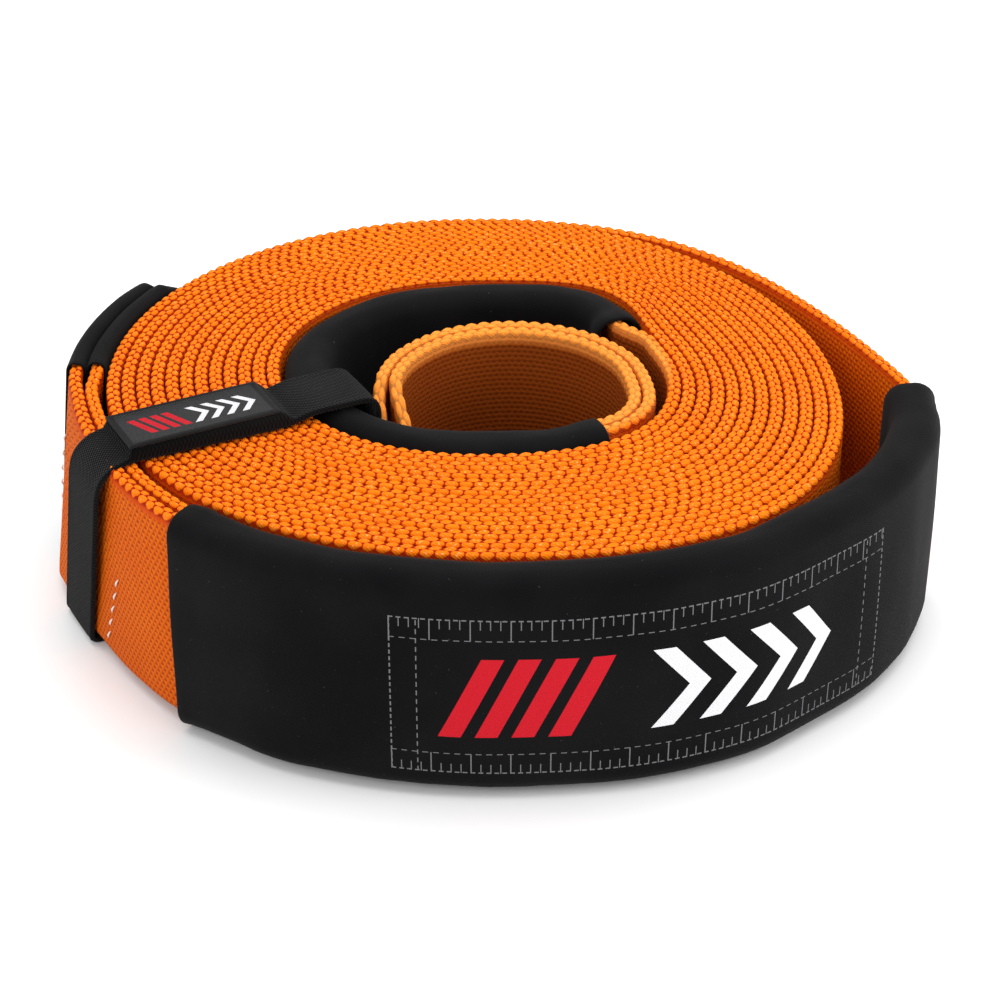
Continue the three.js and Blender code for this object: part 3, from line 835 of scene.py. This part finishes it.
def label_rings():
    """The patch as rings across its length, with a sewn rim standing a little proud."""
    length, width, thickness = LABEL
    from_out = KEEPER_SLOPE[1] + (TAB_LENGTH - length) / 2
    rim_places = [width / 2 - inset for inset in (0, 0.25, 0.8, 1.6, 2.2)]
    under = WEBBING_TOP + LAY_GAP + KEEPER_THICKNESS + TAB_THICKNESS + LAY_GAP
    rings = []
    for out in [0, 0.25, 0.8, 1.6, 2.2, *np.linspace(3, length - 3, 14), length - 2.2, length - 1.6,
                length - 0.8, length - 0.25, length]:
        end = min(out, length - out)
        ring = []
        for across in (*(-x for x in rim_places), -4, 0, 4, *rim_places[::-1]):
            rim = min(end, width / 2 - abs(across))
            proud = thickness * (0.45 + 0.55 * math.sin(math.pi * min(rim, 0.8) / 1.6))
            height = proud if rim < 1.6 else 0.75
            ring.append(keeper_place(from_out + out, across, under + height - 0.35 * (rim > 1.6)))
        for across in (width / 2, 4, -4, -width / 2):
            ring.append(keeper_place(from_out + out, across, under))
        rings.append(ring)
    return np.array(rings)


label_cloth = cloth_material("label cloth", colour(0.012, 0.012, 0.013),
                             colour(0.02, 0.02, 0.021), 0.85, 0.05, 0.8 * MM, 0.15 * MM, label_weave)
label = label_rings()
label_along = np.linalg.norm(label[:, 6] - label[0, 6], axis=1)
label_patch = loft("keeper_patch", label, label_along, around(label, 5), False)
dress(label_patch, "keeper_label", label_cloth)


# Sewing

def outer_face(azimuth, height):
    """A point on the outside of the sewn strap at the left."""
    after_roll = strap_along > strap_along[-1] - SEWN_SEARCH
    facing = np.degrees(np.arctan2(strap_line[:, 1], strap_line[:, 0]))
    apart = np.abs((facing - azimuth + 180) % 360 - 180)
    near = np.flatnonzero(after_roll & (apart < 1.0))
    k = near[np.argmax(np.hypot(strap_line[near, 0], strap_line[near, 1]))]
    x, y, bottom, top, thickness, lean = strap_line[k]
    out = thickness / 2 + 0.1 + abs(lean) * (top - height) / (top - bottom)
    radius = math.hypot(x, y) + out
    return np.array([*polar(azimuth, radius), height])


def thread(points, radius):
    """Rings of a thread with drawn-in ends through a few points."""
    points = np.array(points)
    way = np.gradient(points, axis=0)
    way /= np.linalg.norm(way, axis=1)[:, None]
    side = np.cross(way, (0.577, 0.577, 0.577))
    side /= np.linalg.norm(side, axis=1)[:, None]
    other = np.cross(way, side)
    girth = radius * np.sin(np.linspace(0.25, math.pi - 0.25, len(points)))[:, None]
    turns = np.arange(6) * math.pi / 3
    return np.stack([points + girth * (side * math.cos(t) + other * math.sin(t)) for t in turns], axis=1)


def stitches():
    """Slanting runs of short pale stitches on the sewn end at the left."""
    runs = []
    for azimuth, low, high, count in SEWN_RUNS:
        for k in range(count):
            share = (k + 0.5) / count
            height = low + (high - low) * share
            turn = azimuth + 5 * (share - 0.5)
            ends = [outer_face(turn + 0.5 * t, height + 2.0 * t) for t in (-1, -0.5, 0, 0.5, 1)]
            middle = np.array(ends)
            middle[:, :2] *= 1 + np.array([0, 0.0015, 0.003, 0.0015, 0])[:, None]
            runs.append(thread(middle, 0.4))
    return runs


# How far back from the strap's end its sewn stretch at the left is looked for
SEWN_SEARCH = 760
# Azimuth, lowest and highest place, and number of stitches
SEWN_RUNS = ((-176, 20, 62, 6), (-165, 12, 62, 6), (-149, 8, 40, 5))

thread_material = plain_material("pale thread", colour(0.75, 0.68, 0.6), 0.7, 0.25)
for number, rings in enumerate(stitches(), 1):
    stitch = loft(f"stitch_{number}", rings, np.linspace(0, 4, len(rings)), np.linspace(0, 2, 7), False)
    dress(stitch, "webbing", thread_material)


# Lengths along the sleeves' lines, worked out and not kept

def length_of(stops):
    return smooth_line(stops, 2.0)[0][-1] * MM


length_of(front_sleeve_stops())
length_of(inner_sleeve_stops())


# Floor, light and camera

def area_light(name, place, size, power, target=(0, 0, 0.04)):
    lamp = bpy.data.lights.new(name, "AREA")
    lamp.shape = "RECTANGLE"
    lamp.size, lamp.size_y = size
    lamp.energy = power
    light = bpy.data.objects.new(name, lamp)
    light.location = place
    light.rotation_euler = (Vector(target) - Vector(place)).to_track_quat("-Z", "Y").to_euler()
    bpy.context.scene.collection.objects.link(light)


def floor():
    bpy.ops.mesh.primitive_plane_add(size=12, location=(0, 0, 0))
    plane = bpy.context.object
    plane.name = "floor"
    plane.data.materials.append(plain_material("pale floor", colour(0.88, 0.88, 0.88), 0.9))


CAMERA_PLACE = (0.00169, -0.81367, 0.4935)
CAMERA_PITCH = 30


def camera():
    lens = bpy.data.cameras.new("camera")
    lens.lens = 93.6
    lens.sensor_width = 36.0
    eye = bpy.data.objects.new("camera", lens)
    eye.location = CAMERA_PLACE
    eye.rotation_euler = (math.radians(90 - CAMERA_PITCH), 0, 0)
    bpy.context.scene.collection.objects.link(eye)
    bpy.context.scene.camera = eye


floor()
camera()
area_light("sky_panel", (0.1, 0.3, 1.6), (2.4, 2.0), 30)
area_light("front_panel", (-0.9, -1.5, 1.1), (1.4, 1.2), 12)
area_light("right_panel", (1.3, -0.3, 0.5), (0.5, 1.0), 8)
bpy.context.scene.view_settings.view_transform = "Standard"
world = bpy.context.scene.world or bpy.data.worlds.new("room")
bpy.context.scene.world = world
world.use_nodes = True
world.node_tree.nodes["Background"].inputs["Color"].default_value = colour(1, 1, 1)
world.node_tree.nodes["Background"].inputs["Strength"].default_value = 0.75
